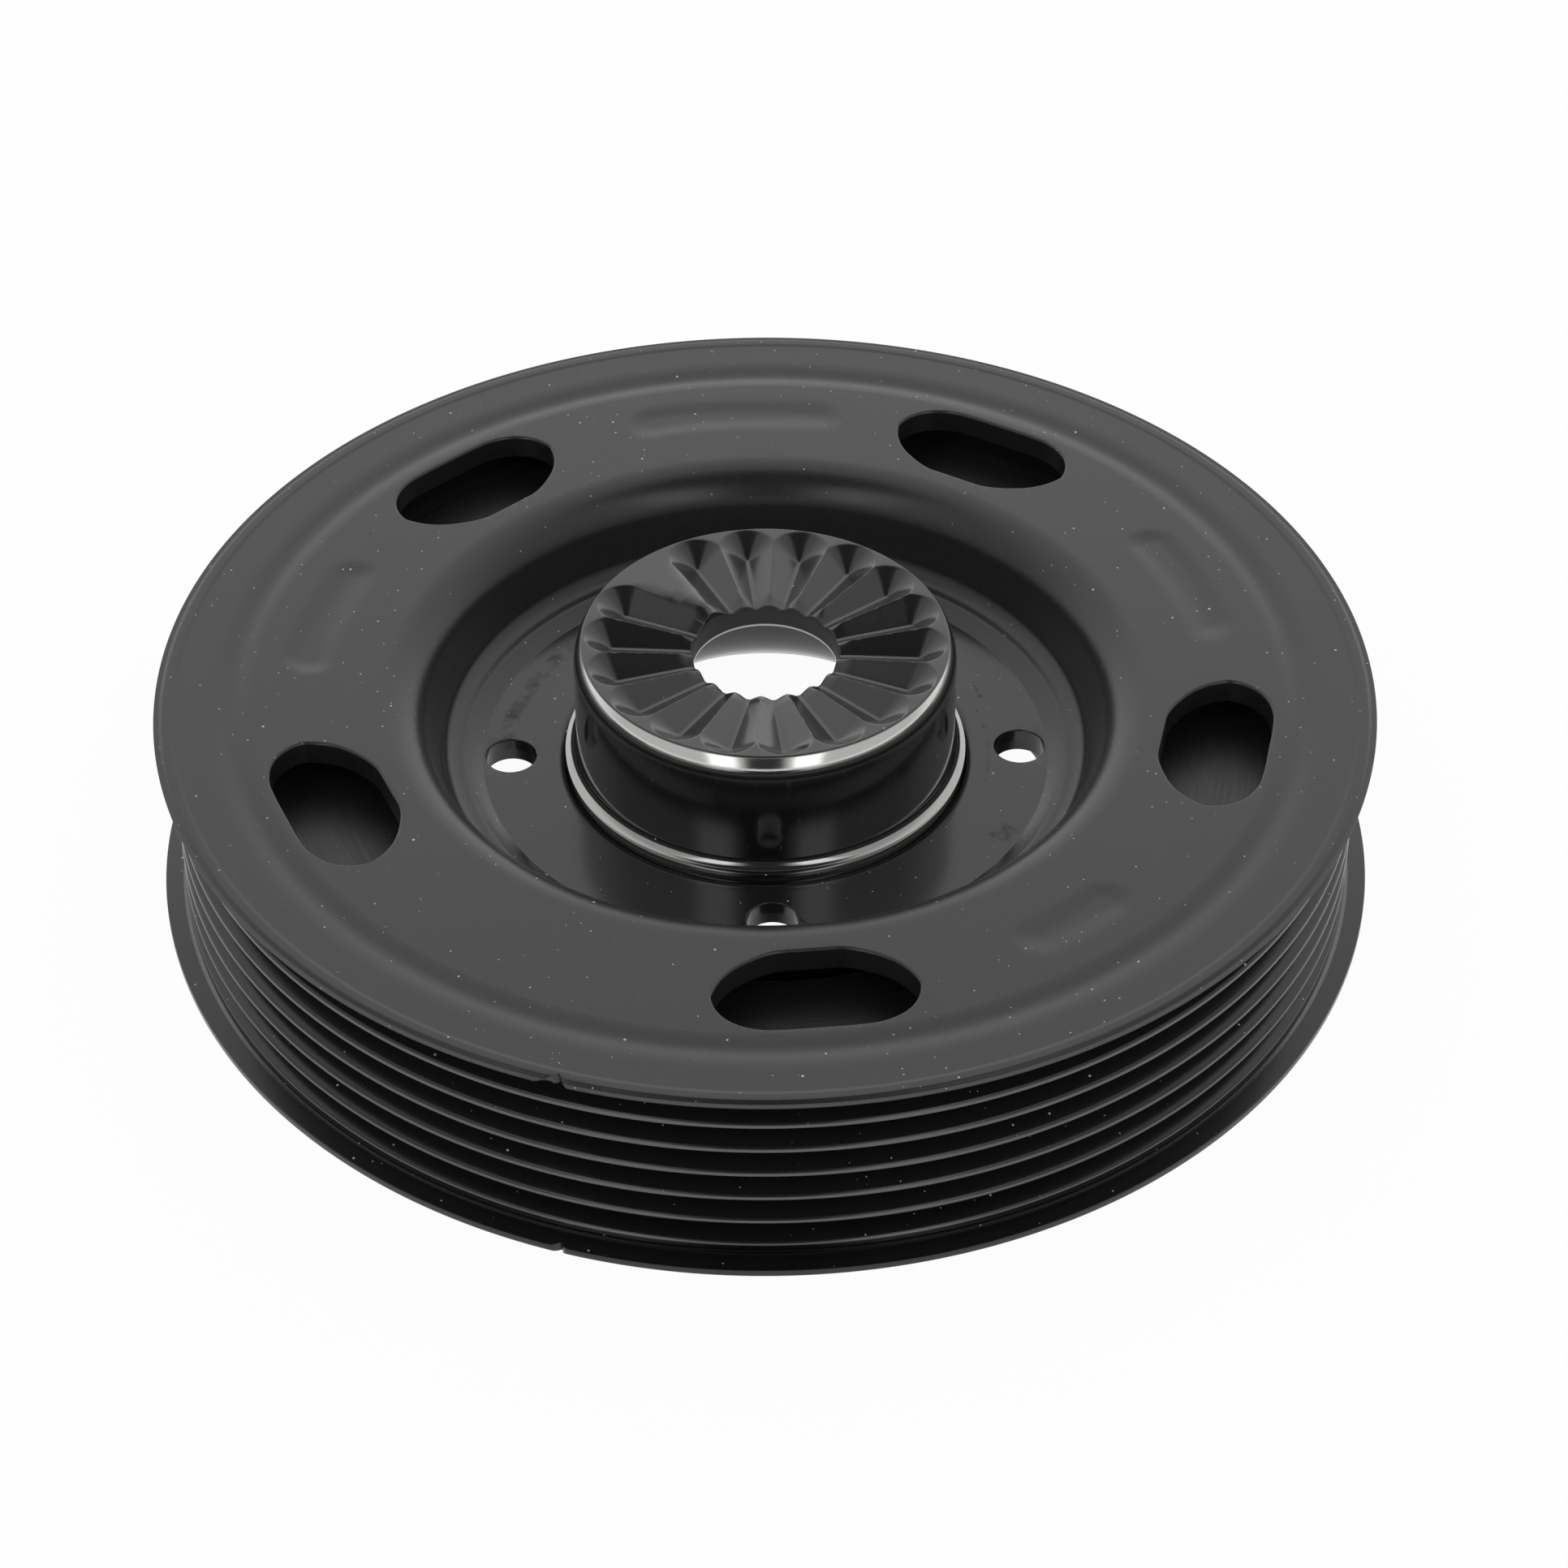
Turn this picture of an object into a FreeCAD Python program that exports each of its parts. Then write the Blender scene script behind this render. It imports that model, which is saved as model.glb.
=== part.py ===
# Crankshaft pulley with a multi-rib belt rim, a serrated hub and an inertia ring.
# Axis on +Z, engine side up.  The origin is on the axis in the plane of the lowest
# rim face, so the pulley rests on Z = 0.  All lengths are in millimetres and all
# angles in degrees.
import FreeCAD, Part
import math
import os
import Sketcher

doc = FreeCAD.newDocument("CrankshaftPulley")
sizes = doc.addObject("Spreadsheet::Sheet", "sizes")
row_of = {}


def size(name, value, note):
    """Puts one driving dimension in the sheet as plain text, with a name and a note."""
    row = len(row_of) + 1
    row_of[name] = row
    sizes.set("A%d" % row, name)
    sizes.set("B%d" % row, str(value))
    sizes.set("C%d" % row, note)
    sizes.setAlias("B%d" % row, name)
    return Dim(float(value), "sizes." + name)


class Dim:
    """A number together with the sheet expression that gives it."""

    def __init__(self, value, text):
        self.value = value
        self.text = text

    def __add__(self, other):
        return Dim(self.value + dim(other).value, "(%s + %s)" % (self.text, dim(other).text))

    def __sub__(self, other):
        return Dim(self.value - dim(other).value, "(%s - %s)" % (self.text, dim(other).text))

    def __mul__(self, other):
        return Dim(self.value * dim(other).value, "(%s * %s)" % (self.text, dim(other).text))

    def __truediv__(self, other):
        return Dim(self.value / dim(other).value, "(%s / %s)" % (self.text, dim(other).text))

    def __neg__(self):
        return Dim(-self.value, "(0 - %s)" % self.text)


def dim(number):
    return number if isinstance(number, Dim) else Dim(float(number), repr(float(number)))


def sine(angle):
    return Dim(math.sin(math.radians(angle.value)), "sin(%s * 1 deg)" % angle.text)


def cosine(angle):
    return Dim(math.cos(math.radians(angle.value)), "cos(%s * 1 deg)" % angle.text)


def tangent(angle):
    return Dim(math.tan(math.radians(angle.value)), "tan(%s * 1 deg)" % angle.text)


# Belt rim: the lip, the six belt grooves and the lower flange.
rim_height = size("rim_height", 25.3, "lowest face to the top of the lip")
lip_radius = size("lip_radius", 70.7, "widest radius of the lip beside the first groove")
lip_width = size("lip_width", 2.4, "flat ring that stands above the plate")
lip_step = size("lip_step", 0.35, "height of that ring above the plate")
lip_edge_width = size("lip_edge_width", 0.9, "turned edge of the lip, along the radius")
lip_edge_drop = size("lip_edge_drop", 0.5, "turned edge of the lip, along the axis")
rib_crest_inset = size("rib_crest_inset", 1.9, "rib crests inside the edge of the lip")
rib_pitch = size("rib_pitch", 3.56, "standard rib pitch of the belt")
rib_grooves = size("rib_grooves", 6, "number of belt grooves")
first_groove_drop = size("first_groove_drop", 3.37, "top of the lip to the middle of groove one")
rib_groove_depth = size("rib_groove_depth", 2.9, "crest to root")
rib_root_width = size("rib_root_width", 0.7, "flat bottom of a belt groove")
rib_flank_angle = size("rib_flank_angle", 20, "half of the groove angle")
last_land = size("last_land", 2.33, "middle of the last groove to the end of the last land")
flange_radius = size("flange_radius", 71.3, "lower flange")
flange_edge = size("flange_edge", 1.1, "height of the flange's outer edge")
flange_chamfer = size("flange_chamfer", 0.3, "broken lower edge of the flange")
flange_channel = size("flange_channel", 0.4, "depth of the fine channel above the flange")
rim_wall = size("rim_wall", 3.4, "metal behind the groove roots")
rim_corner = size("rim_corner", 2.5, "inner corner between rim and plate")

# Plate, bowl and web, pressed from one sheet with the rim.
sheet_thickness = size("sheet_thickness", 3.0, "plate, bowl and web")
bead_inset = size("bead_inset", 8.6, "edge of the lip to the middle of the ring pressed in the plate")
bead_width = size("bead_width", 4.6, "width of that ring")
bead_depth = size("bead_depth", 0.35, "depth of that ring")
shoulder_radius = size("shoulder_radius", 44.5, "where the plate starts to bend into the bowl")
shoulder_bend = size("shoulder_bend", 5.5, "outer bend radius of the shoulder")
wall_angle = size("wall_angle", 72, "bowl wall against the plate")
bowl_depth = size("bowl_depth", 10.45, "plate to web")
ledge_rise = size("ledge_rise", 1.0, "ledge round the web above the web")
ledge_bend = size("ledge_bend", 2.2, "inner bend radius at the foot of the bowl wall")
ledge_width = size("ledge_width", 0.6, "flat part of the ledge")
ledge_slope_width = size("ledge_slope_width", 2.1, "slope from the ledge to the web")
web_hole_circle = size("web_hole_circle", 59.8, "pitch circle diameter of the web holes")
web_hole_diameter = size("web_hole_diameter", 5.9, "web holes")
web_holes = size("web_holes", 4, "number of web holes")
web_hole_phase = size("web_hole_phase", 1.65, "direction of the first web hole")

# Slots and shallow pressings in the plate.
slots = size("slots", 5, "number of slots")
slot_phase = size("slot_phase", -12, "direction of the first slot")
slot_circle_radius = size("slot_circle_radius", 52.8, "middle of the slots")
slot_length = size("slot_length", 22.6, "across the round ends")
slot_outer_reach = size("slot_outer_reach", 5.9, "slot middle to the outer long side")
slot_inner_reach = size("slot_inner_reach", 6.3, "slot middle to the inner long side")
slot_outer_flat = size("slot_outer_flat", 11.4, "straight part of the outer long side")
slot_inner_flat = size("slot_inner_flat", 6.6, "straight part of the inner long side")
slot_end_radius = size("slot_end_radius", 6.0, "outer part of a slot's end")
slot_inner_end_radius = size("slot_inner_end_radius", 9.4, "inner part of a slot's end")
dents = size("dents", 4, "number of shallow pressings between the slots")
dent_phase = size("dent_phase", -50.5, "direction of the first pressing")
dent_radius = size("dent_radius", 53.6, "middle of the pressings")
dent_width = size("dent_width", 5.8, "width of a pressing")
dent_depth = size("dent_depth", 0.3, "depth of a pressing")
dent_span = size("dent_span", 23, "angle that a pressing covers")

# Alignment notch in the edges of the lip and of the lower flange.
notch_direction = size("notch_direction", -108.1, "direction of the notch")
notch_depth = size("notch_depth", 1.65, "depth of the notch in the lip")
flange_notch_depth = size("flange_notch_depth", 0.75, "depth of the notch in the flange")
notch_steep_angle = size("notch_steep_angle", 37, "steeper side against the radius")
notch_wide_angle = size("notch_wide_angle", 53, "flatter side against the radius")

# Hub: seal surface, serrated face, bore and the hollow behind the face.
hub_rise = size("hub_rise", 5.9, "serrated face above the top of the lip")
seal_radius = size("seal_radius", 22.15, "seal surface")
face_radius = size("face_radius", 21.17, "edge of the serrated face")
face_edge_drop = size("face_edge_drop", 2.8, "height of the rounded lead-in")
face_edge_bend = size("face_edge_bend", 4.5, "radius of the rounded lead-in")
collar_radius = size("collar_radius", 23.48, "collar pressed into the web")
collar_rise = size("collar_rise", 1.19, "top of the collar's edge above the web")
relief_width = size("relief_width", 1.0, "rolled-over edge of the web at the collar, along the radius")
relief_depth = size("relief_depth", 1.0, "rolled-over edge of the web at the collar, downwards")
bore_radius = size("bore_radius", 8.5, "bolt bore")
bore_chamfer = size("bore_chamfer", 0.25, "broken lower edge of the bore")
face_thickness = size("face_thickness", 4.8, "metal that the bolt clamps")
hollow_radius = size("hollow_radius", 15.5, "straight part of the hollow")
hollow_depth = size("hollow_depth", 7.7, "straight part of the hollow, along the axis")
hollow_mouth_radius = size("hollow_mouth_radius", 22.2, "mouth of the hollow")

# Radial serrations: evenly spaced places, of which one stays plain.
serration_places = size("serration_places", 18, "places round the face")
serration_phase = size("serration_phase", 157, "direction of the first groove after the plain place")
serration_depth = size("serration_depth", 2.15, "face to groove root")
serration_root_width = size("serration_root_width", 0.45, "flat groove root")
serration_flank_angle = size("serration_flank_angle", 34.5, "flank against the face")
serration_reach = size("serration_reach", 17.7, "axis to the end of the groove root")

# Inertia ring in the hollow of the rim, on its rubber ring.
ring_drop = size("ring_drop", 6.9, "top of the lip to the top of the inertia ring")
ring_recess = size("ring_recess", 1.5, "bottom of the inertia ring above the lowest face")
ring_inner_radius = size("ring_inner_radius", 43.8, "upper bore of the inertia ring")
ring_lower_radius = size("ring_lower_radius", 35.5, "lower bore of the inertia ring")
ring_lower_height = size("ring_lower_height", 8.0, "height of the lower bore")
ring_chamfer = size("ring_chamfer", 0.6, "broken edges of the inertia ring")
rubber_thickness = size("rubber_thickness", 3.0, "rubber between the inertia ring and the rim")
rubber_setback = size("rubber_setback", 1.2, "rubber behind the end faces of the inertia ring")

# Room that a cutting outline has beyond the face that it cuts.
cut_overrun = size("cut_overrun", 1.0, "cutting outlines past the face")

doc.recompute()

# Heights and radii that follow from the sizes above.
plate_top = rim_height - lip_step
plate_bottom = plate_top - sheet_thickness
web_top = plate_top - bowl_depth
web_bottom = web_top - sheet_thickness
ledge_top = web_top + ledge_rise
crest_radius = lip_radius - rib_crest_inset
bead_radius = lip_radius - bead_inset
groove_root_radius = crest_radius - rib_groove_depth
rim_inner_radius = groove_root_radius - rim_wall
first_groove_height = rim_height - first_groove_drop
last_groove_height = first_groove_height - rib_pitch * (rib_grooves - 1)
last_land_bottom = last_groove_height - last_land
face_height = rim_height + hub_rise
hollow_top = face_height - face_thickness


def new_body(label):
    body = doc.addObject("PartDesign::Body", label)
    body.Label = label
    return body


def plane_of(body, role):
    for feature in body.Origin.OriginFeatures:
        if feature.Role == role:
            return feature
    raise ValueError("origin plane %s is missing" % role)


def new_sketch(body, name, role, lift=None, turn=None, turn_axis=(0, 0, 1)):
    """A sketch on one of the body's origin planes, lifted along its normal or turned."""
    sketch = body.newObject("Sketcher::SketchObject", name)
    sketch.AttachmentSupport = [(plane_of(body, role), "")]
    sketch.MapMode = "FlatFace"
    angle = turn.value if turn else 0.0
    height = lift.value if lift else 0.0
    rotation = FreeCAD.Rotation(FreeCAD.Vector(*turn_axis), angle)
    sketch.AttachmentOffset = FreeCAD.Placement(FreeCAD.Vector(0, 0, height), rotation)
    if turn:
        sketch.setExpression("AttachmentOffset.Rotation.Angle", turn.text + " * 1 deg")
    if lift:
        sketch.setExpression("AttachmentOffset.Base.z", lift.text + " * 1 mm")
    return sketch


def bind(sketch, constraint, name, expression):
    index = sketch.addConstraint(constraint)
    sketch.renameConstraint(index, name)
    sketch.setExpression("Constraints." + name, expression)


def draw_profile(sketch, corners):
    """A closed outline.  Each corner is (x, y) or (x, y, radius, side): the side that
    leaves such a corner is an arc of that radius, bulging left (1) or right (-1)."""
    count = len(corners)
    start = len(sketch.Geometry)
    for i, corner in enumerate(corners):
        following = corners[(i + 1) % count]
        first = FreeCAD.Vector(corner[0].value, corner[1].value, 0)
        second = FreeCAD.Vector(following[0].value, following[1].value, 0)
        if len(corner) == 2:
            sketch.addGeometry(Part.LineSegment(first, second), False)
            continue
        chord = second - first
        half = chord.Length / 2
        away = FreeCAD.Vector(-chord.y, chord.x, 0).normalize()
        rise = corner[2].value - math.sqrt(max(corner[2].value ** 2 - half ** 2, 0.0))
        middle = (first + second) * 0.5 + away * (rise * corner[3])
        sketch.addGeometry(Part.Arc(first, middle, second), False)
    for i, corner in enumerate(corners):
        here = start + i
        there = start + (i + 1) % count
        end_of_here, start_of_there = end_points(sketch, here, there, corners[(i + 1) % count])
        sketch.addConstraint(Sketcher.Constraint("Coincident", here, end_of_here, there, start_of_there))
        point = start_point(sketch, here, corner)
        x_rule = Sketcher.Constraint("DistanceX", -1, 1, here, point, corner[0].value)
        y_rule = Sketcher.Constraint("DistanceY", -1, 1, here, point, corner[1].value)
        bind(sketch, x_rule, "x%d" % (start + i), corner[0].text)
        bind(sketch, y_rule, "y%d" % (start + i), corner[1].text)
        if len(corner) > 2:
            arc_rule = Sketcher.Constraint("Radius", here, corner[2].value)
            bind(sketch, arc_rule, "bend%d" % (start + i), corner[2].text)


def start_point(sketch, index, corner):
    """Which end of a side lies on its own corner (an arc may run the other way)."""
    corner_point = FreeCAD.Vector(corner[0].value, corner[1].value, 0)
    return 1 if sketch.getPoint(index, 1).distanceToPoint(corner_point) < 1e-6 else 2


def end_points(sketch, here, there, corner):
    corner_point = FreeCAD.Vector(corner[0].value, corner[1].value, 0)
    near_end = 1 if sketch.getPoint(here, 1).distanceToPoint(corner_point) < 1e-6 else 2
    return near_end, start_point(sketch, there, corner)


def draw_circle(sketch, x, y, diameter):
    index = len(sketch.Geometry)
    centre = FreeCAD.Vector(x.value, y.value, 0)
    sketch.addGeometry(Part.Circle(centre, FreeCAD.Vector(0, 0, 1), diameter.value / 2), False)
    bind(sketch, Sketcher.Constraint("DistanceX", -1, 1, index, 3, x.value), "x%d" % index, x.text)
    sketch.addConstraint(Sketcher.Constraint("PointOnObject", index, 3, -1))
    bind(sketch, Sketcher.Constraint("Diameter", index, diameter.value), "across%d" % index, diameter.text)


def revolve(body, sketch, name):
    solid = body.newObject("PartDesign::Revolution", name)
    solid.Profile = sketch
    solid.ReferenceAxis = (sketch, ["V_Axis"])
    solid.Angle = 360
    return solid


def revolve_cut(body, sketch, name, axis="V_Axis"):
    cut = body.newObject("PartDesign::Groove", name)
    cut.Profile = sketch
    cut.ReferenceAxis = (sketch, [axis])
    cut.Angle = 360
    return cut


def straight_cut(body, sketch, name):
    cut = body.newObject("PartDesign::Pocket", name)
    cut.Profile = sketch
    cut.Type = "ThroughAll"
    return cut


def polar_copies(body, features, sketch, name, count, angle):
    """Copies round +Z.  count and angle are expressions; angle 360 closes the ring."""
    copies = body.newObject("PartDesign::PolarPattern", name)
    copies.Originals = features
    copies.Axis = (sketch, ["N_Axis"])
    copies.setExpression("Occurrences", count.text)
    copies.setExpression("Angle", angle.text + " * 1 deg")
    body.Tip = copies
    return copies


# Rim, plate, bowl and web: one revolved profile, seen in the XZ plane.
pulley = new_body("pulley_body")
section = new_sketch(pulley, "body_section", "XZ_Plane")
sine_wall = sine(wall_angle)
cosine_wall = cosine(wall_angle)
shoulder_height = plate_top - shoulder_bend
shoulder_x = shoulder_radius - shoulder_bend * sine_wall
shoulder_y = shoulder_height + shoulder_bend * cosine_wall
under_bend = shoulder_bend - sheet_thickness
under_x = shoulder_radius - under_bend * sine_wall
under_y = shoulder_height + under_bend * cosine_wall
foot_y = ledge_top + ledge_bend
foot_run = (shoulder_y + ledge_bend * cosine_wall - foot_y) / sine_wall
foot_x = shoulder_x - ledge_bend * sine_wall - foot_run * cosine_wall
outer_bend = ledge_bend + sheet_thickness
ledge_inner = foot_x - ledge_width
slope_foot = ledge_inner - ledge_slope_width
draw_profile(section, [
    (collar_radius, web_bottom),
    (slope_foot, web_bottom),
    (ledge_inner, ledge_top - sheet_thickness),
    (foot_x, ledge_top - sheet_thickness, outer_bend, -1),
    (foot_x + outer_bend * sine_wall, foot_y - outer_bend * cosine_wall),
    (under_x, under_y, under_bend, 1),
    (shoulder_radius, plate_bottom),
    (rim_inner_radius - rim_corner, plate_bottom, rim_corner, 1),
    (rim_inner_radius, plate_bottom - rim_corner),
    (rim_inner_radius, dim(0)),
    (flange_radius - flange_chamfer, dim(0)),
    (flange_radius, flange_chamfer),
    (flange_radius, flange_edge),
    (crest_radius - flange_channel, last_land_bottom - flange_channel / 2),
    (crest_radius, last_land_bottom),
    (crest_radius, first_groove_height),
    (lip_radius, first_groove_height),
    (lip_radius, rim_height - lip_edge_drop),
    (lip_radius - lip_edge_width, rim_height),
    (lip_radius - lip_width, rim_height),
    (lip_radius - lip_width, plate_top),
    (bead_radius + bead_width / 2, plate_top, (bead_width * bead_width / 4 + bead_depth * bead_depth)
     / (bead_depth * 2), 1),
    (bead_radius - bead_width / 2, plate_top),
    (shoulder_radius, plate_top, shoulder_bend, -1),
    (shoulder_x, shoulder_y),
    (foot_x + ledge_bend * sine_wall, foot_y - ledge_bend * cosine_wall, ledge_bend, 1),
    (foot_x, ledge_top),
    (ledge_inner, ledge_top),
    (slope_foot, web_top),
    (collar_radius + relief_width, web_top, relief_width, -1),
    (collar_radius, web_top - relief_depth),
])
revolve(pulley, section, "pressed_body")

# The V-shaped belt groove, cut once and repeated along the axis.
rib_section = new_sketch(pulley, "belt_groove_section", "XZ_Plane")
rib_reach = lip_radius + rib_root_width
rib_half = rib_root_width / 2
rib_open = rib_half + (rib_reach - groove_root_radius) * tangent(rib_flank_angle)
draw_profile(rib_section, [
    (groove_root_radius, first_groove_height - rib_half),
    (rib_reach, first_groove_height - rib_open),
    (rib_reach, first_groove_height + rib_open),
    (groove_root_radius, first_groove_height + rib_half),
])
rib_cut = revolve_cut(pulley, rib_section, "belt_groove")
ribs = pulley.newObject("PartDesign::LinearPattern", "belt_grooves")
ribs.Originals = [rib_cut]
ribs.Direction = (rib_section, ["V_Axis"])
ribs.Reversed = True
ribs.setExpression("Occurrences", rib_grooves.text)
ribs.setExpression("Length", (rib_pitch * (rib_grooves - 1)).text + " * 1 mm")
pulley.Tip = ribs

# Slots: a straight outer and inner side, joined by ends of two radii.
slot_sketch = new_sketch(pulley, "slot_outline", "XY_Plane", rim_height, slot_phase)
slot_half = slot_length / 2
draw_profile(slot_sketch, [
    (slot_circle_radius + slot_outer_reach, slot_outer_flat / 2, slot_end_radius, -1),
    (slot_circle_radius, slot_half, slot_inner_end_radius, -1),
    (slot_circle_radius - slot_inner_reach, slot_inner_flat / 2),
    (slot_circle_radius - slot_inner_reach, -(slot_inner_flat / 2), slot_inner_end_radius, -1),
    (slot_circle_radius, -slot_half, slot_end_radius, -1),
    (slot_circle_radius + slot_outer_reach, -(slot_outer_flat / 2)),
])
slot_cut = straight_cut(pulley, slot_sketch, "slot")
polar_copies(pulley, [slot_cut], slot_sketch, "slots_round_plate", slots, dim(360))

# Four through holes in the web.
hole_sketch = new_sketch(pulley, "web_hole_outline", "XY_Plane", rim_height, web_hole_phase)
draw_circle(hole_sketch, web_hole_circle / 2, dim(0), web_hole_diameter)
hole_cut = straight_cut(pulley, hole_sketch, "web_hole")
polar_copies(pulley, [hole_cut], hole_sketch, "web_holes_round_axis", web_holes, dim(360))

# Shallow pressings between the slots: an arc section turned through part of a circle.
dent_sketch = new_sketch(pulley, "dent_section", "XZ_Plane", None, dent_phase, (0, 1, 0))
dent_half = dent_width / 2
draw_profile(dent_sketch, [
    (dent_radius - dent_half, plate_top, (dent_half * dent_half + dent_depth * dent_depth)
     / (dent_depth * 2), -1),
    (dent_radius + dent_half, plate_top),
    (dent_radius + dent_half, plate_top + cut_overrun),
    (dent_radius - dent_half, plate_top + cut_overrun),
])
dent_cut = revolve_cut(pulley, dent_sketch, "dent")
dent_cut.Midplane = True
dent_cut.setExpression("Angle", dent_span.text + " * 1 deg")
dent_turn = (dim(360) / slots) * (dents - 1)
polar_copies(pulley, [dent_cut], slot_sketch, "dents_round_plate", dents, dent_turn)

# Alignment notch: a V with one steep side, deeper in the lip than in the lower flange.
def cut_notch(name, edge_radius, depth):
    sketch = new_sketch(pulley, name + "_outline", "XY_Plane", rim_height, notch_direction)
    root = edge_radius - depth
    run = depth + cut_overrun
    draw_profile(sketch, [
        (root, dim(0)),
        (edge_radius + cut_overrun, -(run * tangent(notch_wide_angle))),
        (edge_radius + cut_overrun, run * tangent(notch_steep_angle)),
    ])
    return straight_cut(pulley, sketch, name)


lip_notch = cut_notch("lip_notch", lip_radius, notch_depth)
lip_notch.Type = "Length"
lip_notch.setExpression("Length", (first_groove_drop + rib_pitch / 2).text + " * 1 mm")
flange_notch = cut_notch("flange_notch", flange_radius, flange_notch_depth)
pulley.Tip = flange_notch

# Hub.
hub = new_body("hub")
hub_section = new_sketch(hub, "hub_section", "XZ_Plane")
collar_top = web_top + collar_rise
collar_fillet = collar_radius - seal_radius
draw_profile(hub_section, [
    (bore_radius, face_height),
    (bore_radius, hollow_top + bore_chamfer),
    (bore_radius + bore_chamfer, hollow_top),
    (hollow_radius, hollow_top),
    (hollow_radius, hollow_top - hollow_depth),
    (hollow_mouth_radius, web_bottom),
    (collar_radius, web_bottom),
    (collar_radius, collar_top, collar_fillet, 1),
    (seal_radius, collar_top + collar_fillet),
    (seal_radius, face_height - face_edge_drop, face_edge_bend, -1),
    (face_radius, face_height),
])
revolve(hub, hub_section, "turned_hub")

# One serration: a V groove along +X that ends in a cone, repeated round the face.
groove_open = (serration_root_width / 2
               + (serration_depth + cut_overrun) / tangent(serration_flank_angle))
groove_root = face_height - serration_depth
groove_top = face_height + cut_overrun
serration_section = new_sketch(hub, "serration_section", "YZ_Plane")
draw_profile(serration_section, [
    (-(serration_root_width / 2), groove_root),
    (serration_root_width / 2, groove_root),
    (groove_open, groove_top),
    (-groove_open, groove_top),
])
serration = hub.newObject("PartDesign::Pocket", "serration")
serration.Profile = serration_section
serration.Type = "Length"
serration.Reversed = True
serration.setExpression("Length", serration_reach.text + " * 1 mm")
end_section = new_sketch(hub, "serration_end_section", "XZ_Plane")
draw_profile(end_section, [
    (serration_reach, groove_root),
    (serration_reach + serration_root_width / 2, groove_root),
    (serration_reach + groove_open, groove_top),
    (serration_reach, groove_top),
])
axis_line = end_section.addGeometry(Part.LineSegment(
    FreeCAD.Vector(serration_reach.value, groove_root.value, 0),
    FreeCAD.Vector(serration_reach.value, groove_top.value, 0)), True)
end_section.addConstraint(Sketcher.Constraint("Coincident", axis_line, 1, 0, 1))
end_section.addConstraint(Sketcher.Constraint("Coincident", axis_line, 2, 3, 1))
serration_end = revolve_cut(hub, end_section, "serration_end", "Axis0")
ring_plane = new_sketch(hub, "face_plane", "XY_Plane", face_height)
draw_circle(ring_plane, dim(0), dim(0), face_radius * 2)
step_angle = dim(360) / serration_places
polar_copies(hub, [serration, serration_end], ring_plane, "serrations", serration_places - 1,
             step_angle * (serration_places - 2))
hub.Placement = FreeCAD.Placement(
    FreeCAD.Vector(0, 0, 0), FreeCAD.Rotation(FreeCAD.Vector(0, 0, 1), serration_phase.value))
hub.setExpression("Placement.Rotation.Angle", serration_phase.text + " * 1 deg")

# Inertia ring, with a wider bore beside the bowl and a narrower one below the web.
inertia = new_body("inertia_ring")
ring_section = new_sketch(inertia, "ring_section", "XZ_Plane")
ring_top = rim_height - ring_drop
ring_outer_radius = rim_inner_radius - rubber_thickness
ring_step = ring_recess + ring_lower_height
draw_profile(ring_section, [
    (ring_lower_radius + ring_chamfer, ring_recess),
    (ring_outer_radius - ring_chamfer, ring_recess),
    (ring_outer_radius, ring_recess + ring_chamfer),
    (ring_outer_radius, ring_top - ring_chamfer),
    (ring_outer_radius - ring_chamfer, ring_top),
    (ring_inner_radius + ring_chamfer, ring_top),
    (ring_inner_radius, ring_top - ring_chamfer),
    (ring_inner_radius, ring_step),
    (ring_lower_radius, ring_step),
    (ring_lower_radius, ring_recess + ring_chamfer),
])
revolve(inertia, ring_section, "turned_ring")

# Rubber ring between the inertia ring and the rim.
rubber = new_body("rubber_ring")
rubber_section = new_sketch(rubber, "rubber_section", "XZ_Plane")
draw_profile(rubber_section, [
    (ring_outer_radius, ring_recess + rubber_setback),
    (rim_inner_radius, ring_recess + rubber_setback),
    (rim_inner_radius, ring_top - rubber_setback),
    (ring_outer_radius, ring_top - rubber_setback),
])
revolve(rubber, rubber_section, "moulded_ring")

doc.recompute()

pieces = [pulley, hub, inertia, rubber]
for item in doc.Objects:
    if "Invalid" in item.State or "Error" in item.State:
        raise RuntimeError("%s could not be computed: %s" % (item.Name, item.State))
for piece in pieces:
    if piece.Shape.isNull() or not piece.Shape.isValid() or len(piece.Shape.Solids) != 1:
        raise RuntimeError("%s is not one valid solid" % piece.Label)

os.makedirs("parts", exist_ok=True)
for piece in pieces:
    piece.Shape.exportStep(os.path.join("parts", piece.Label + ".step"))
    box = piece.Shape.BoundBox
    print("%s volume %.1f mm3, height %.2f to %.2f, width %.2f" % (
        piece.Label, piece.Shape.Volume, box.ZMin, box.ZMax, box.XLength))
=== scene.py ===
# A crankshaft pulley lying on a pale studio table with its serrated engine side up:
# pressed sheet-steel body with a grooved belt rim, turned hub, inertia ring on rubber.
import math
import random

import bpy
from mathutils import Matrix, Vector
from mathutils.geometry import delaunay_2d_cdt


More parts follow.
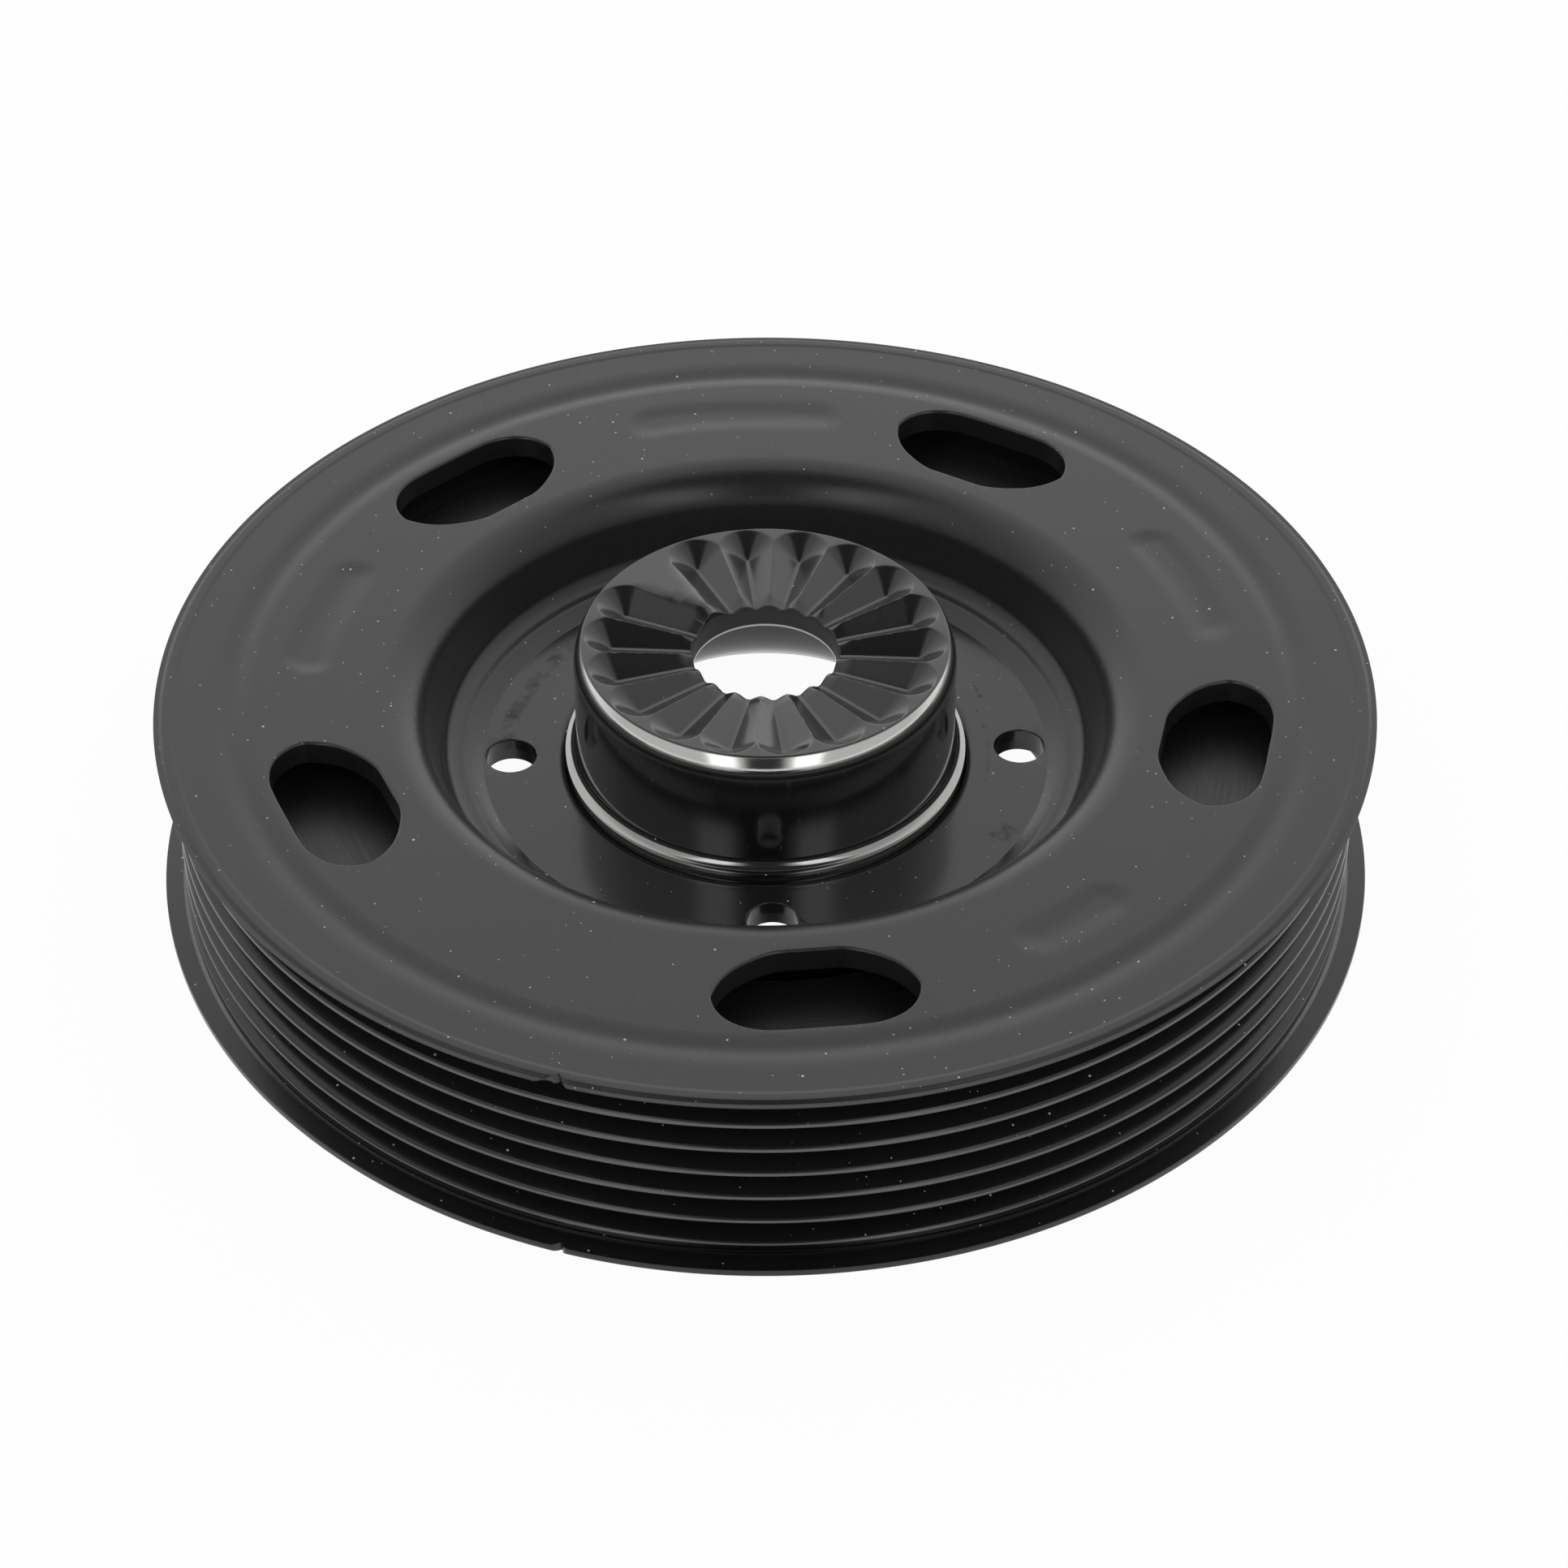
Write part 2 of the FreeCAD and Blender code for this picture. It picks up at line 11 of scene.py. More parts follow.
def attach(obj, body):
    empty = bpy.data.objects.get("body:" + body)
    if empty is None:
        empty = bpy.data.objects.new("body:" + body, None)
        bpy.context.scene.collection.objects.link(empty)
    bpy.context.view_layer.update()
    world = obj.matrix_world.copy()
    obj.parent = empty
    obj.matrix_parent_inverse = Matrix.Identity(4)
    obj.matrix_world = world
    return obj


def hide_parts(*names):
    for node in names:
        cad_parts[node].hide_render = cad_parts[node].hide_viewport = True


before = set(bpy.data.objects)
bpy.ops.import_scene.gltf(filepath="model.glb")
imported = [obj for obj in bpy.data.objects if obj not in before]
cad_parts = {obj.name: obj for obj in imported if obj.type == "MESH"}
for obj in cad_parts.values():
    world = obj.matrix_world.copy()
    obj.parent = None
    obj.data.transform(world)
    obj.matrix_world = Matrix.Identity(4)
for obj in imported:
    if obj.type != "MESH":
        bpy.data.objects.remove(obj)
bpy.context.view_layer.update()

MM = 0.001

# Points in a ring of the body, of the hub and of the inertia ring.
BODY_TURNS = 344
HUB_TURNS = 720
RING_TURNS = 360

# Sizes of the pressed body, in millimetres; heights count from the lowest rim face.
LIP_TOP = 25.05
PLATE_TOP = 24.95
PLATE_BOTTOM = 21.95
WEB_TOP = 14.5
WEB_BOTTOM = 11.5
SHEET = 3.0
LEDGE_TOP = 15.5
LIP_RADIUS = 70.68
CREST_RADIUS = 68.8
ROOT_RADIUS = 65.9
FLANGE_RADIUS = 71.3
RIM_INNER = 62.5
FIRST_GROOVE = 21.93
RIB_PITCH = 3.56
GROOVES = 6
GROOVE_ROOT_HALF = 0.35
FLANK = math.tan(math.radians(20))
LAST_LAND_END = 1.8
BEAD_RADIUS = 61.85
BEAD_DEPTH = 0.32
NOTCH = -108.1
SLOT_CIRCLE = 52.8
SLOT_PHASE = -12
WEB_HOLE_CIRCLE = 29.9
WEB_HOLE_RADIUS = 2.95
WEB_HOLE_PHASE = 1.65
SHOULDER_RADIUS = 44.5
SHOULDER_BEND = 5.5
FOOT_BEND = 2.2
BOWL_WALL = 72
COLLAR_RADIUS = 23.48
COLLAR_TOP = 15.69
ROLLED_EDGE = 1.0

# Sizes of the hub.
FACE = 31.2
FACE_RADIUS = 21.17
SEAL_RADIUS = 22.15
BORE_RADIUS = 8.5
BORE_WALL = BORE_RADIUS - 0.08
HOLLOW_TOP = 26.4
LEAD_IN = (17.65, 28.4)
LEAD_IN_RADIUS = 4.5
SERRATION_DEPTH = 2.15
SERRATION_ROOT_HALF = 0.225
SERRATION_FLANK = math.tan(math.radians(34.5))
SERRATION_REACH = 17.7
SERRATION_PHASE = 157
SERRATION_STEP = 20
PLACES = 18
PLAIN_PLACE = 17

# Rub marks on the web: direction, half width in degrees, radius, half width, lump size
# in millimetres and the level that cuts the lumps out.
WEB_MARKS = [
    (160, 22, 30.6, 0.9, 2.4, 0.47),
    (190, 12, 31.2, 0.5, 1.8, 0.52),
    (24, 3.0, 27.6, 0.25, 0.6, 0.42),
    (-28, 2.6, 31.0, 1.2, 1.4, 0.44),
    (4, 16, 26.2, 0.12, 0.8, 0.5),
]

# Shallow pressings between the slots: direction, both ends along the circle, depth.
DENTS = [
    (24, -15.0, 8.5, 0.26),
    (96, -15.6, 12.2, 0.24),
    (168, -13.0, 10.0, 0.28),
    (-48, -10.7, 5.3, 0.22),
]
DENT_CIRCLE = 53.5
DENT_HALF = 3.4


# Tools for the materials

def paint(hex_colour):
    """An sRGB hex colour as linear red, green, blue and alpha."""
    value = hex_colour.lstrip("#")
    parts = [int(value[i:i + 2], 16) / 255 for i in (0, 2, 4)]
    linear = [c / 12.92 if c <= 0.04045 else ((c + 0.055) / 1.055) ** 2.4 for c in parts]
    return (*linear, 1.0)


def add(tree, kind, settings=None, **links):
    """Adds one node.  Settings are its properties and input values; links go from other
    nodes' outputs into its inputs.  An input goes by its name or its number: 1 in the
    settings, i1 among the links."""
    node = tree.nodes.new(kind)
    for key, value in (settings or {}).items():
        if isinstance(key, int) or key in node.inputs:
            node.inputs[key].default_value = value
        else:
            setattr(node, key, value)
    for name, source in links.items():
        numbered = name[0] == "i" and name[1:].isdigit()
        tree.links.new(source, node.inputs[int(name[1:]) if numbered else name])
    return node


def new_finish(name):
    """A new material with an empty node tree, its shader and its output."""
    finish = bpy.data.materials.new(name)
    finish.use_nodes = True
    tree = finish.node_tree
    tree.nodes.clear()
    output = tree.nodes.new("ShaderNodeOutputMaterial")
    shader = tree.nodes.new("ShaderNodeBsdfPrincipled")
    tree.links.new(shader.outputs["BSDF"], output.inputs["Surface"])
    return finish, tree, shader


def place_of(tree):
    """The surface point in millimetres."""
    where = add(tree, "ShaderNodeTexCoord")
    return add(tree, "ShaderNodeVectorMath", {"operation": "SCALE", "Scale": 1 / MM},
               i0=where.outputs["Object"]).outputs[0]


def maths(tree, operation, first, second=0.0, clamp=False):
    """One Math node; numbers are set and sockets are linked."""
    node = tree.nodes.new("ShaderNodeMath")
    node.operation = operation
    node.use_clamp = clamp
    for i, value in enumerate((first, second)):
        if isinstance(value, (int, float)):
            node.inputs[i].default_value = value
        else:
            tree.links.new(value, node.inputs[i])
    return node.outputs[0]


def times(tree, first, second):
    return maths(tree, "MULTIPLY", first, second)


def spread(tree, value, low, high, first=0.0, last=1.0, smooth=False):
    """Maps low to first and high to last; beyond them the result stays the same."""
    kind = "SMOOTHSTEP" if smooth else "LINEAR"
    settings = {"interpolation_type": kind, 1: low, 2: high, 3: first, 4: last}
    return add(tree, "ShaderNodeMapRange", settings, Value=value).outputs[0]


def window(tree, value, low, high, soft):
    """1 where value lies between low and high, with soft edges."""
    rise = spread(tree, value, low - soft, low + soft, smooth=True)
    fall = spread(tree, value, high - soft, high + soft, 1.0, 0.0, smooth=True)
    return times(tree, rise, fall)


def zone(tree, radius, radii, soft, height, heights, soft_height):
    """1 inside a ring-shaped zone between two radii and two heights, with soft edges."""
    return times(tree, window(tree, radius, *radii, soft), window(tree, height, *heights, soft_height))


def grain(tree, place, size, detail=2.0, roughness=0.5):
    """Noise whose lumps are about size millimetres across."""
    return add(tree, "ShaderNodeTexNoise",
               {"noise_type": "FBM", "Scale": 1 / size, "Detail": detail, "Roughness": roughness},
               Vector=place).outputs["Fac"]


def blend_colour(tree, factor, first, second):
    """Mixes two colours, each a socket or a hex text."""
    node = tree.nodes.new("ShaderNodeMix")
    node.data_type = "RGBA"
    for socket, value in ((node.inputs[6], first), (node.inputs[7], second)):
        if isinstance(value, str):
            socket.default_value = paint(value)
        else:
            tree.links.new(value, socket)
    tree.links.new(factor, node.inputs[0])
    return node.outputs[2]


def polar(tree, place):
    """Radius, angle in degrees and height of the surface point."""
    split = add(tree, "ShaderNodeSeparateXYZ", i0=place)
    x, y, z = split.outputs
    flat = add(tree, "ShaderNodeCombineXYZ", i0=x, i1=y).outputs[0]
    radius = add(tree, "ShaderNodeVectorMath", {"operation": "LENGTH"}, i0=flat).outputs["Value"]
    turn = times(tree, maths(tree, "ARCTAN2", y, x), 180 / math.pi)
    return radius, turn, z


def turned_place(tree, radius, turn, height, stretch):
    """Coordinates that run round the axis, stretched along the turning marks."""
    along = times(tree, turn, 1 / stretch)
    return add(tree, "ShaderNodeCombineXYZ", i0=radius, i1=along, i2=height).outputs[0]


def specks(tree, place, spacing, share, largest):
    """Dust: one round speck in some cells of a grid, of random size."""
    cells = add(tree, "ShaderNodeTexVoronoi", {"Scale": 1 / spacing, "Randomness": 1.0}, Vector=place)
    split = add(tree, "ShaderNodeSeparateColor", Color=cells.outputs["Color"])
    chosen = maths(tree, "LESS_THAN", split.outputs[0], share)
    limit = times(tree, split.outputs[1], largest / 2 / spacing)
    near = maths(tree, "SUBTRACT", limit, cells.outputs["Distance"])
    edge = maths(tree, "MULTIPLY", near, 40.0, clamp=True)
    return times(tree, edge, chosen)


def up_facing(tree):
    """1 on faces that look up, 0 on walls and undersides: dust settles there."""
    facing = add(tree, "ShaderNodeNewGeometry").outputs["Normal"]
    lift = add(tree, "ShaderNodeSeparateXYZ", i0=facing).outputs[2]
    return spread(tree, lift, 0.45, 0.8)


def set_bump(tree, shader, strength, distance, height):
    """Raises the surface by the height's pattern; the distance is in millimetres."""
    bump = add(tree, "ShaderNodeBump", {"Strength": strength, "Distance": distance * MM}, Height=height)
    tree.links.new(bump.outputs[0], shader.inputs["Normal"])


# The materials


def coated_sheet_steel():
    """Black coat on pressed sheet steel: nearly black in itself, satin, so that the flats
    show the white studio as an even grey and the walls stay dark.  The turned web is
    smoother, with faint rings; pale dust and dark rub marks lie on top."""
    finish, tree, shader = new_finish("coated_sheet_steel")
    place = place_of(tree)
    radius, turn, height = polar(tree, place)
    cloud = grain(tree, place, 16.0, 3.0)
    fine = grain(tree, place, 0.4, 3.0, 0.65)
    coat = blend_colour(tree, cloud, "#171918", "#1c1e1d")
    coat = blend_colour(tree, times(tree, fine, 0.5), coat, "#212221")

    # The rolled rim below the lip gets the blackest coat: partly its own glossier black, partly painted
    # shade for the deep belt grooves.
    rim = zone(tree, radius, (64.0, 90.0), 0.3, height, (-5.0, 24.7), 0.15)
    coat = blend_colour(tree, rim, coat, "#121212")

    # The web: turned smooth, so the hub and the lights show in it as soft rings.
    rings = grain(tree, turned_place(tree, radius, turn, height, 60.0), 0.16, 2.0, 0.7)
    web = zone(tree, radius, (20.0, 34.2), 0.8, height, (13.0, 15.3), 0.2)

    # Soft dark rub marks on the web.
    marks = None
    for angle, half, middle, width, size, level in WEB_MARKS:
        spot = times(tree, window(tree, turn, angle - half, angle + half, half * 0.25),
                     window(tree, radius, middle - width, middle + width, width * 0.5))
        lumps = grain(tree, place, size, 3.0, 0.6)
        spot = times(tree, spot, spread(tree, lumps, level - 0.04, level + 0.2))
        marks = spot if marks is None else maths(tree, "MAXIMUM", marks, spot)
    marks = times(tree, times(tree, marks, web), 0.6)
    coat = blend_colour(tree, marks, coat, "#0c0c0b")

    # The belt has polished the rib crests through to the metal.
    worn = zone(tree, radius, (68.73, 69.2), 0.04, height, (0.5, 22.5), 0.5)
    coat = blend_colour(tree, worn, coat, "#5e5e5d")

    dust = maths(tree, "MAXIMUM", specks(tree, place, 2.0, 0.7, 0.38),
                 specks(tree, place, 0.9, 0.3, 0.22))
    dust = times(tree, dust, up_facing(tree))
    tree.links.new(blend_colour(tree, dust, coat, "#b6b7b3"), shader.inputs["Base Color"])
    shader.inputs["IOR"].default_value = 1.5

    # Metal shows on the crests; in the dark marks it takes the coat's shine away.
    metal = times(tree, maths(tree, "MAXIMUM", marks, worn), maths(tree, "SUBTRACT", 1.0, dust))
    tree.links.new(metal, shader.inputs["Metallic"])
    rough = spread(tree, fine, 0.3, 0.7, 0.27, 0.33)
    rough = maths(tree, "SUBTRACT", rough, times(tree, web, 0.15))
    rough = maths(tree, "SUBTRACT", rough, times(tree, rim, 0.08))
    tree.links.new(maths(tree, "MAXIMUM", rough, times(tree, dust, 0.8)), shader.inputs["Roughness"])

    skin = times(tree, fine, maths(tree, "SUBTRACT", 0.6, times(tree, web, 0.5)))
    relief = maths(tree, "ADD", skin, times(tree, times(tree, rings, web), 0.5))
    set_bump(tree, shader, 0.25, 0.03, relief)
    return finish


def ground_and_coated_steel():
    """Hub: the seal surface, its foot and the lead-in are ground bright and mirror the
    studio; the coined serrations, the bore and the hollow keep the black coat."""
    finish, tree, shader = new_finish("ground_and_coated_steel")
    place = place_of(tree)
    radius, turn, height = polar(tree, place)
    lines = grain(tree, turned_place(tree, radius, turn, height, 40.0), 0.12, 2.0, 0.7)
    coined = grain(tree, place, 0.3, 3.0, 0.7)
    stain = grain(tree, place, 5.0, 3.0)

    # Ground bright outside the face and at the bore's lower edge, duller on the seal surface.
    ground = zone(tree, radius, (21.3, 40.0), 0.06, height, (14.0, 40.0), 0.1)
    edge = zone(tree, radius, (-1.0, 8.84), 0.03, height, (26.3, 26.84), 0.04)
    ground = maths(tree, "MAXIMUM", ground, edge)
    bare = blend_colour(tree, stain, "#c3c3c0", "#cdcdca")
    seal = window(tree, height, 15.2, 28.2, 0.3)
    bare = blend_colour(tree, seal, bare, "#9b9b99")

    coat = blend_colour(tree, coined, "#161716", "#202120")
    colour = blend_colour(tree, ground, coat, bare)
    dust = maths(tree, "MAXIMUM", specks(tree, place, 2.6, 0.4, 0.3),
                 specks(tree, place, 1.3, 0.12, 0.16))
    tree.links.new(blend_colour(tree, dust, colour, "#c4c4c0"), shader.inputs["Base Color"])
    tree.links.new(times(tree, ground, maths(tree, "SUBTRACT", 1.0, dust)), shader.inputs["Metallic"])
    shader.inputs["IOR"].default_value = 1.62

    # The coat is satin, and matt inside the bore.
    rough = spread(tree, lines, 0.3, 0.7, 0.08, 0.14)
    satin = spread(tree, coined, 0.3, 0.7, 0.16, 0.22)
    bore = zone(tree, radius, (-1.0, 8.7), 0.1, height, (26.9, 29.5), 0.1)
    satin = maths(tree, "ADD", satin, times(tree, bore, 0.45))
    satin = times(tree, satin, maths(tree, "SUBTRACT", 1.0, ground))
    rough = maths(tree, "ADD", times(tree, rough, ground), satin)
    tree.links.new(maths(tree, "MAXIMUM", rough, times(tree, dust, 0.8)), shader.inputs["Roughness"])

    skin = times(tree, coined, maths(tree, "SUBTRACT", 0.8, times(tree, ground, 0.8)))
    relief = maths(tree, "ADD", skin, times(tree, times(tree, lines, ground), 0.12))
    set_bump(tree, shader, 0.2, 0.03, relief)
    return finish


def turned_cast_iron():
    """Inertia ring: turned, with a thin dark coat that keeps the turning marks."""
    finish, tree, shader = new_finish("turned_cast_iron")
    place = place_of(tree)
    radius, turn, height = polar(tree, place)
    lines = grain(tree, turned_place(tree, radius, turn, height, 50.0), 0.22, 3.0, 0.75)
    patches = grain(tree, place, 6.0, 4.0)
    colour = blend_colour(tree, patches, "#1d1e1d", "#262726")
    colour = blend_colour(tree, times(tree, lines, 0.6), colour, "#131313")
    dust = times(tree, specks(tree, place, 2.4, 0.3, 0.25), up_facing(tree))
    tree.links.new(blend_colour(tree, dust, colour, "#a9aaa7"), shader.inputs["Base Color"])
    shader.inputs["IOR"].default_value = 1.5
    tree.links.new(spread(tree, lines, 0.3, 0.7, 0.3, 0.45), shader.inputs["Roughness"])
    set_bump(tree, shader, 0.4, 0.05, lines)
    return finish


def moulded_rubber():
    """Black moulded rubber between the rings: matt, with a faint bloom."""
    finish, tree, shader = new_finish("moulded_rubber")
    place = place_of(tree)
    bloom = grain(tree, place, 4.0, 4.0)
    skin = grain(tree, place, 0.4, 2.0)
    tree.links.new(blend_colour(tree, bloom, "#161616", "#232323"), shader.inputs["Base Color"])
    shader.inputs["IOR"].default_value = 1.52
    tree.links.new(spread(tree, skin, 0.3, 0.7, 0.6, 0.75), shader.inputs["Roughness"])
    set_bump(tree, shader, 0.2, 0.05, skin)
    return finish


# Tools for the shapes

def swing(centre, radius, start, end, steps):
    """Points of an arc in the section; angles in degrees from outward."""
    points = []
    for i in range(steps + 1):
        a = math.radians(start + (end - start) * i / steps)
        points.append((centre[0] + radius * math.cos(a), centre[1] + radius * math.sin(a)))
    return points


def eased(corners, steps=4):
    """A section line.  A corner (r, z, ease) is rounded over that length each way."""
    line = []
    count = len(corners)
    for i, corner in enumerate(corners):
        here = Vector(corner[:2])
        if len(corner) == 2 or i in (0, count - 1):
            line.append(tuple(here))
            continue
        before = Vector(corners[i - 1][:2])
        after = Vector(corners[i + 1][:2])
        ease = min(corner[2], (here - before).length * 0.48, (after - here).length * 0.48)
        start = here + (before - here).normalized() * ease
        end = here + (after - here).normalized() * ease
        for k in range(steps + 1):
            t = k / steps
            line.append(tuple(start * (1 - t) ** 2 + here * 2 * t * (1 - t) + end * t * t))
    return line


def divided(first, second, longest):
    """Points between two section points, no further apart than longest."""
    a, b = Vector(first), Vector(second)
    steps = max(1, math.ceil((b - a).length / longest))
    return [tuple(a.lerp(b, i / steps)) for i in range(1, steps)]


class Piece:
    """Points and faces of one piece, in millimetres."""

    def __init__(self, turns, fine=None):
        self.turns = turns
        self.fine = fine
        self.points = []
        self.faces = []
        self.rings = {}

    def point(self, x, y, z):
        self.points.append((x, y, z))
        return len(self.points) - 1

    def directions(self):
        """Directions of a ring's points, closer together where the rim is notched."""
        even = [2 * math.pi * i / self.turns for i in range(self.turns)]
        if self.fine is None:
            return even
        middle, reach = math.radians(self.fine % 360), math.radians(3)
        near = [middle + reach * k / 10 for k in range(-9, 10)]
        return sorted([a for a in even if abs(a - middle) > reach] + near)

    def ring(self, r, z):
        """A ring of points round the axis; the same ring is made only once."""
        key = (round(r, 4), round(z, 4))
        if key not in self.rings:
            self.rings[key] = [self.point(r * math.cos(a), r * math.sin(a), z)
                               for a in self.directions()]
        return self.rings[key]

    def band(self, first, second):
        """Faces between two closed loops of as many points."""
        count = len(first)
        for i in range(count):
            j = (i + 1) % count
            self.faces.append((first[i], first[j], second[j], second[i]))

    def lining(self, first, second):
        """The same faces, looking the other way."""
        self.band(list(reversed(first)), list(reversed(second)))

    def spin(self, line):
        """Turns a section line round the axis.  The solid lies to the line's right."""
        loops = [self.ring(r, z) for r, z in line]
        for first, second in zip(loops, loops[1:]):
            self.band(first, second)
        return loops[0], loops[-1]

    def fill(self, loops, extra, up):
        """Triangles between a round outer loop and the loops inside it."""
        index = []
        flat = []
        for loop in loops:
            index += loop
        for i in index:
            flat.append(Vector(self.points[i][:2]))
        edges = []
        base = 0
        owner = {}
        for number, loop in enumerate(loops):
            for k in range(len(loop)):
                edges.append((base + k, base + (k + 1) % len(loop)))
                owner[base + k] = number
            base += len(loop)
        height = self.points[index[0]][2]
        for x, y in extra:
            index.append(self.point(x, y, height))
            flat.append(Vector((x, y)))
        _, _, faces, origin, _, _ = delaunay_2d_cdt(flat, edges, [], 0, 1e-7)
        back = [o[0] for o in origin]
        for face in faces:
            corner = [back[v] for v in face]
            owners = {owner.get(c, -1 - c) for c in corner}
            if len(owners) == 1 and 0 not in owners:
                continue
            a, b, c = (flat[k] for k in corner)
            turn = (b - a).cross(c - a)
            if (turn > 0) != up:
                corner.reverse()
            self.faces.append(tuple(index[k] for k in corner))

    def build(self, name, finish, sharp):
        """Makes the mesh object with its finish and smooth shading."""
        mesh = bpy.data.meshes.new(name)
        mesh.from_pydata([(x * MM, y * MM, z * MM) for x, y, z in self.points], [], self.faces)
        mesh.update()
        mesh.materials.append(finish)
        mesh.shade_smooth()
        mesh.set_sharp_from_angle(angle=math.radians(sharp))
        item = bpy.data.objects.new(name, mesh)
        bpy.context.scene.collection.objects.link(item)
        even = item.modifiers.new("even_normals", "WEIGHTED_NORMAL")
        even.keep_sharp = True
        even.weight = 60
        return item


# The pressed body

def slot_outline():
    """One slot in its own frame: x outward from the slot's middle, y along it."""
    outer, inner, half = 5.9, 6.3, 11.3
    outer_flat, inner_flat = 5.7, 3.3
    corners = [
        ((outer, -outer_flat), (outer, outer_flat), 0.0),
        ((outer, outer_flat), (0.0, half), 6.0),
        ((0.0, half), (-inner, inner_flat), 9.4),
        ((-inner, inner_flat), (-inner, -inner_flat), 0.0),
        ((-inner, -inner_flat), (0.0, -half), 9.4),
        ((0.0, -half), (outer, -outer_flat), 6.0),
    ]
    outline = []
    for first, second, bend in corners:
        a, b = Vector(first), Vector(second)
        span = b - a
        steps = max(2, round(span.length / 0.5))
        if not bend:
            outline += [a.lerp(b, i / steps) for i in range(steps)]
            continue
        inward = Vector((-span.y, span.x)).normalized()
        centre = (a + b) / 2 + inward * math.sqrt(max(bend ** 2 - span.length_squared / 4, 0))
        start = math.atan2(a.y - centre.y, a.x - centre.x)
        end = math.atan2(b.y - centre.y, b.x - centre.x)
        sweep = (end - start + math.pi) % (2 * math.pi) - math.pi
        outline += [centre + Vector((math.cos(start + sweep * i / steps),
                                     math.sin(start + sweep * i / steps))) * bend
                    for i in range(steps)]

    # The corners are drawn in by the punch.
    for here in outline:
        lead = abs(math.degrees(math.atan2(here.y, here.x)))
        drawn = 0.06 + 0.26 * math.exp(-((lead - 52) / 15) ** 2)
        drawn += 0.2 * math.exp(-((lead - 128) / 15) ** 2)
        here *= 1 - drawn / here.length
    return outline


def hole_loop(piece, outline, direction, distance, grow, z):
    """Puts an outline at a direction and distance from the axis, grown by some width."""
    turn = math.radians(direction)
    count = len(outline)
    loop = []
    for i, here in enumerate(outline):
        along = outline[(i + 1) % count] - outline[i - 1]
        outward = Vector((along.y, -along.x)).normalized()
        p = here + outward * grow
        x = distance + p.x
        loop.append(piece.point(x * math.cos(turn) - p.y * math.sin(turn),
                                x * math.sin(turn) + p.y * math.cos(turn), z))
    return loop


def punched_wall(piece, outline, direction, distance, top, bottom, roll):
    """The wall of a punched opening: rolled over at the top, crisp below."""
    loops = []
    for k in range(6):
        a = math.radians(18 * k)
        loops.append(hole_loop(piece, outline, direction, distance,
                               roll * (1 - math.sin(a)), top - roll * (1 - math.cos(a))))
    loops.append(hole_loop(piece, outline, direction, distance, 0.0, bottom + 0.08))
    loops.append(hole_loop(piece, outline, direction, distance, 0.08, bottom))
    for first, second in zip(loops, loops[1:]):
        piece.band(first, second)
    return loops[0], loops[-1]


def ramp(value, low, high):
    """0 below low, 1 above high and a smooth step between them."""
    t = min(1.0, max(0.0, (value - low) / (high - low)))
    return t * t * (3 - 2 * t)


def plate_relief(x, y):
    """How far the top of the plate lies from its plane."""
    r = math.hypot(x, y)
    turn = math.degrees(math.atan2(y, x))
    off = r - BEAD_RADIUS
    depth = BEAD_DEPTH * math.exp(-0.5 * (off / (0.95 if off < 0 else 1.12)) ** 2)
    if abs(r - DENT_CIRCLE) < 5.0:
        for direction, start, end, deep in DENTS:
            lead = (turn - direction + 180) % 360 - 180
            along = math.radians(lead) * r
            if start - 1 < along < end + 1:
                half = (end - start) / 2
                cross = r - DENT_CIRCLE - 0.12 * math.sin(along * 0.3)
                beyond = max(0.0, abs(along - (start + end) / 2) - (half - DENT_HALF))
                inside = DENT_HALF - math.hypot(beyond, cross)
                soft = DENT_HALF - 0.8 * ramp(along, start, end)
                depth += deep * ramp(inside, 0.0, soft)
    return -depth


def on_circle(radius, direction):
    """The point of a circle round the axis in a direction in degrees."""
    a = math.radians(direction)
    return radius * math.cos(a), radius * math.sin(a)


